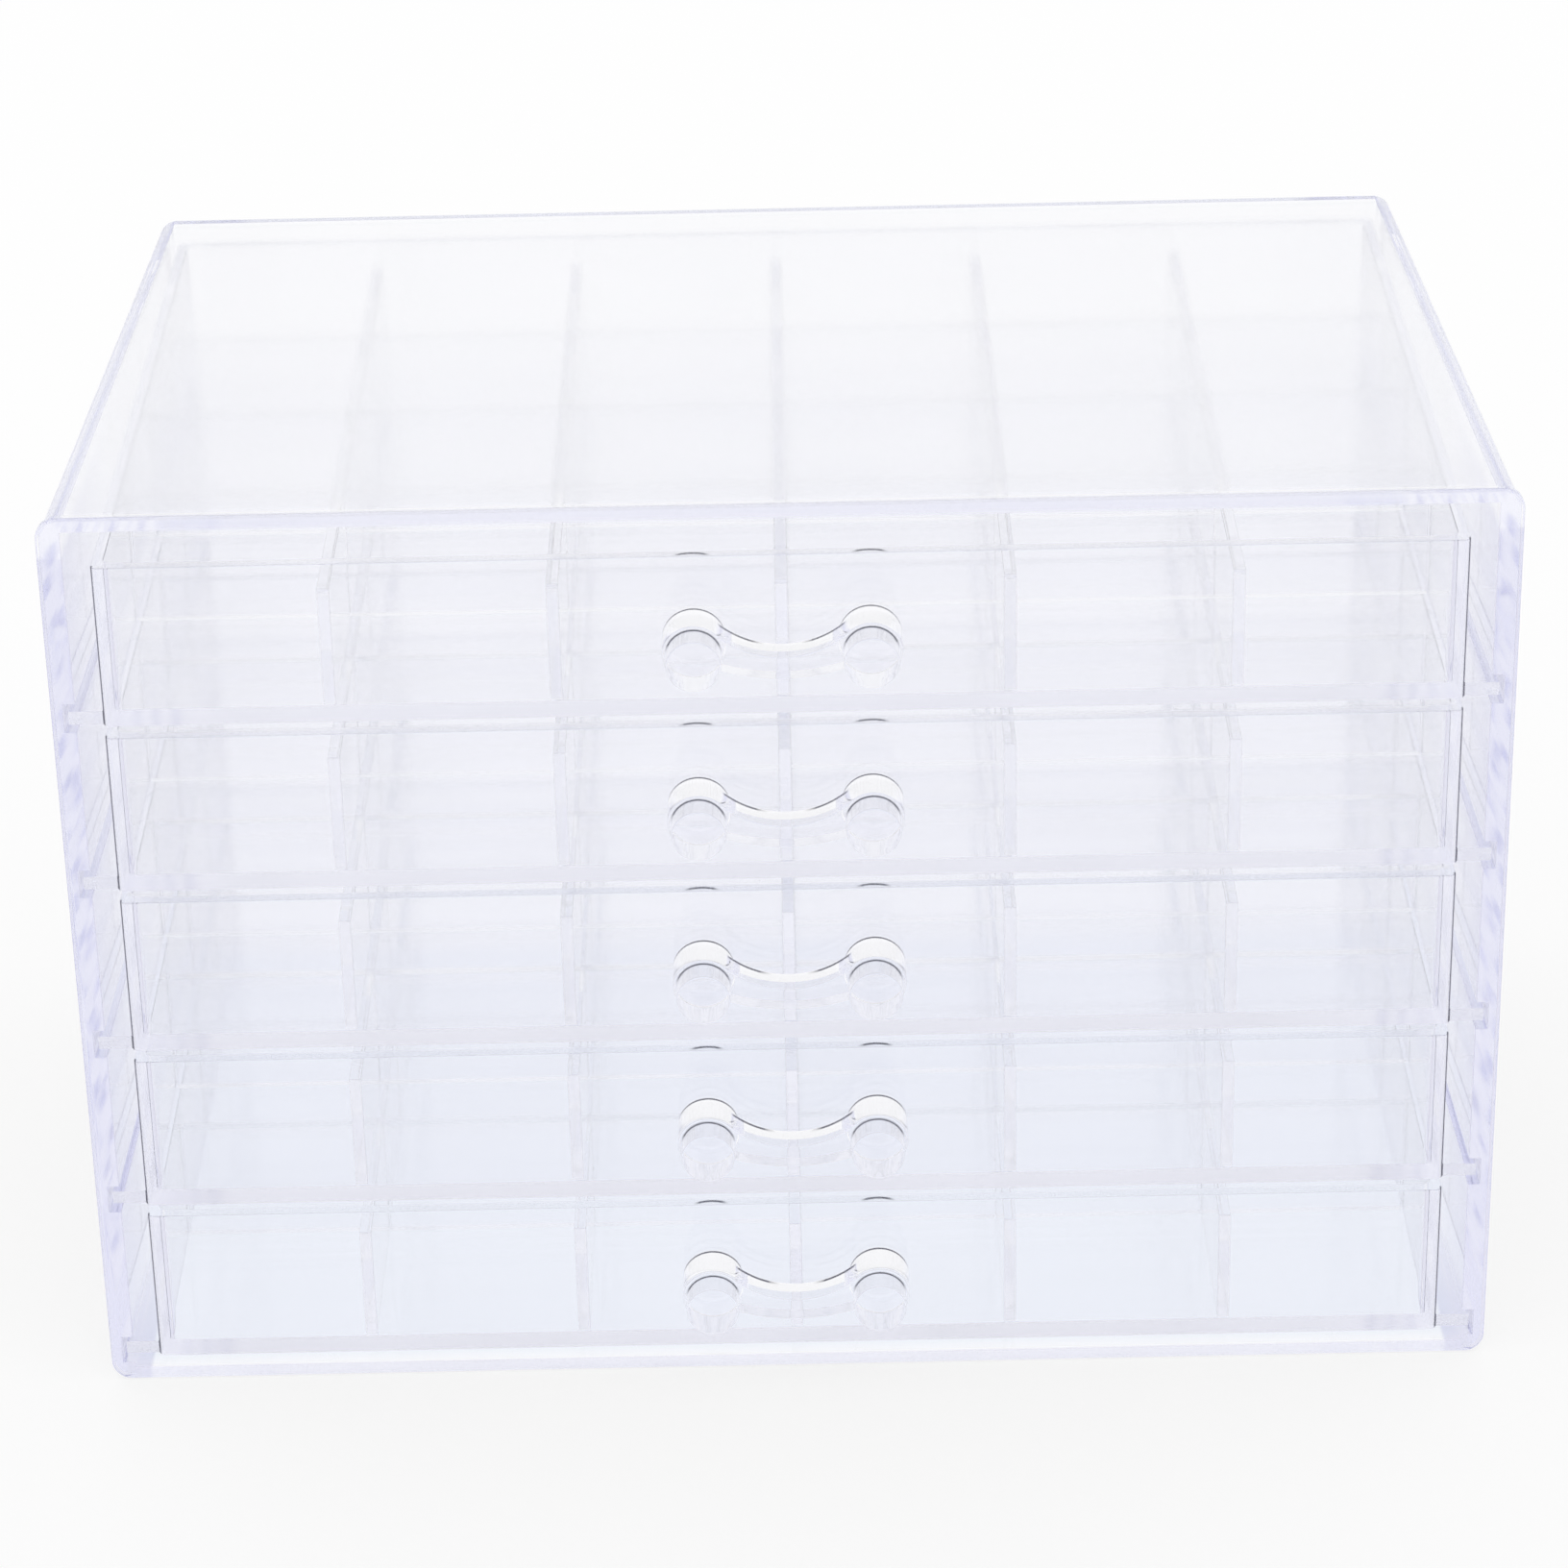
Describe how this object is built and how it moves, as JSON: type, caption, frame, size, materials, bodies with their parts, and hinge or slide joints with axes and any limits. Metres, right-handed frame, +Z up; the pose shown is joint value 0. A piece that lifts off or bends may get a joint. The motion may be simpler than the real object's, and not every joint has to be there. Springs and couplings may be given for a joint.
{
  "type": "drawer storage box",
  "caption": "Clear plastic desktop box, open at the front, with a stack of shallow pull-out drawers, each split into small square compartments by slotted dividers.",
  "frame": {"origin": "centre of the case's base, on the surface that the box stands on", "axes": "+X to the right as seen from the front, +Y from the open front to the back, +Z up"},
  "size_m": [0.235, 0.158, 0.1605],
  "materials": {
    "clear_plastic": "clear polished, faint lilac tint at the edges"
  },
  "bodies": {
    "case": {"outer_case": "clear_plastic"},
    "drawer_1": {"drawer_1_tray": "clear_plastic", "drawer_1_handle": "clear_plastic", "drawer_1_long_divider_1": "clear_plastic", "drawer_1_long_divider_2": "clear_plastic", "drawer_1_long_divider_3": "clear_plastic", "drawer_1_long_divider_4": "clear_plastic", "drawer_1_long_divider_5": "clear_plastic", "drawer_1_cross_divider_1": "clear_plastic", "drawer_1_cross_divider_2": "clear_plastic", "drawer_1_cross_divider_3": "clear_plastic"},
    "drawer_2": {"drawer_2_tray": "clear_plastic", "drawer_2_handle": "clear_plastic", "drawer_2_long_divider_1": "clear_plastic", "drawer_2_long_divider_2": "clear_plastic", "drawer_2_long_divider_3": "clear_plastic", "drawer_2_long_divider_4": "clear_plastic", "drawer_2_long_divider_5": "clear_plastic", "drawer_2_cross_divider_1": "clear_plastic", "drawer_2_cross_divider_2": "clear_plastic", "drawer_2_cross_divider_3": "clear_plastic"},
    "drawer_3": {"drawer_3_tray": "clear_plastic", "drawer_3_handle": "clear_plastic", "drawer_3_long_divider_1": "clear_plastic", "drawer_3_long_divider_2": "clear_plastic", "drawer_3_long_divider_3": "clear_plastic", "drawer_3_long_divider_4": "clear_plastic", "drawer_3_long_divider_5": "clear_plastic", "drawer_3_cross_divider_1": "clear_plastic", "drawer_3_cross_divider_2": "clear_plastic", "drawer_3_cross_divider_3": "clear_plastic"},
    "drawer_4": {"drawer_4_tray": "clear_plastic", "drawer_4_handle": "clear_plastic", "drawer_4_long_divider_1": "clear_plastic", "drawer_4_long_divider_2": "clear_plastic", "drawer_4_long_divider_3": "clear_plastic", "drawer_4_long_divider_4": "clear_plastic", "drawer_4_long_divider_5": "clear_plastic", "drawer_4_cross_divider_1": "clear_plastic", "drawer_4_cross_divider_2": "clear_plastic", "drawer_4_cross_divider_3": "clear_plastic"},
    "drawer_5": {"drawer_5_tray": "clear_plastic", "drawer_5_handle": "clear_plastic", "drawer_5_long_divider_1": "clear_plastic", "drawer_5_long_divider_2": "clear_plastic", "drawer_5_long_divider_3": "clear_plastic", "drawer_5_long_divider_4": "clear_plastic", "drawer_5_long_divider_5": "clear_plastic", "drawer_5_cross_divider_1": "clear_plastic", "drawer_5_cross_divider_2": "clear_plastic", "drawer_5_cross_divider_3": "clear_plastic"}
  },
  "joints": [
    {"name": "drawer_1_slide", "type": "slide", "parent": "case", "child": "drawer_1", "axis": [0, -1, 0], "range_m": [0, 0.115]},
    {"name": "drawer_2_slide", "type": "slide", "parent": "case", "child": "drawer_2", "axis": [0, -1, 0], "range_m": [0, 0.115]},
    {"name": "drawer_3_slide", "type": "slide", "parent": "case", "child": "drawer_3", "axis": [0, -1, 0], "range_m": [0, 0.115]},
    {"name": "drawer_4_slide", "type": "slide", "parent": "case", "child": "drawer_4", "axis": [0, -1, 0], "range_m": [0, 0.115]},
    {"name": "drawer_5_slide", "type": "slide", "parent": "case", "child": "drawer_5", "axis": [0, -1, 0], "range_m": [0, 0.115]}
  ]
}
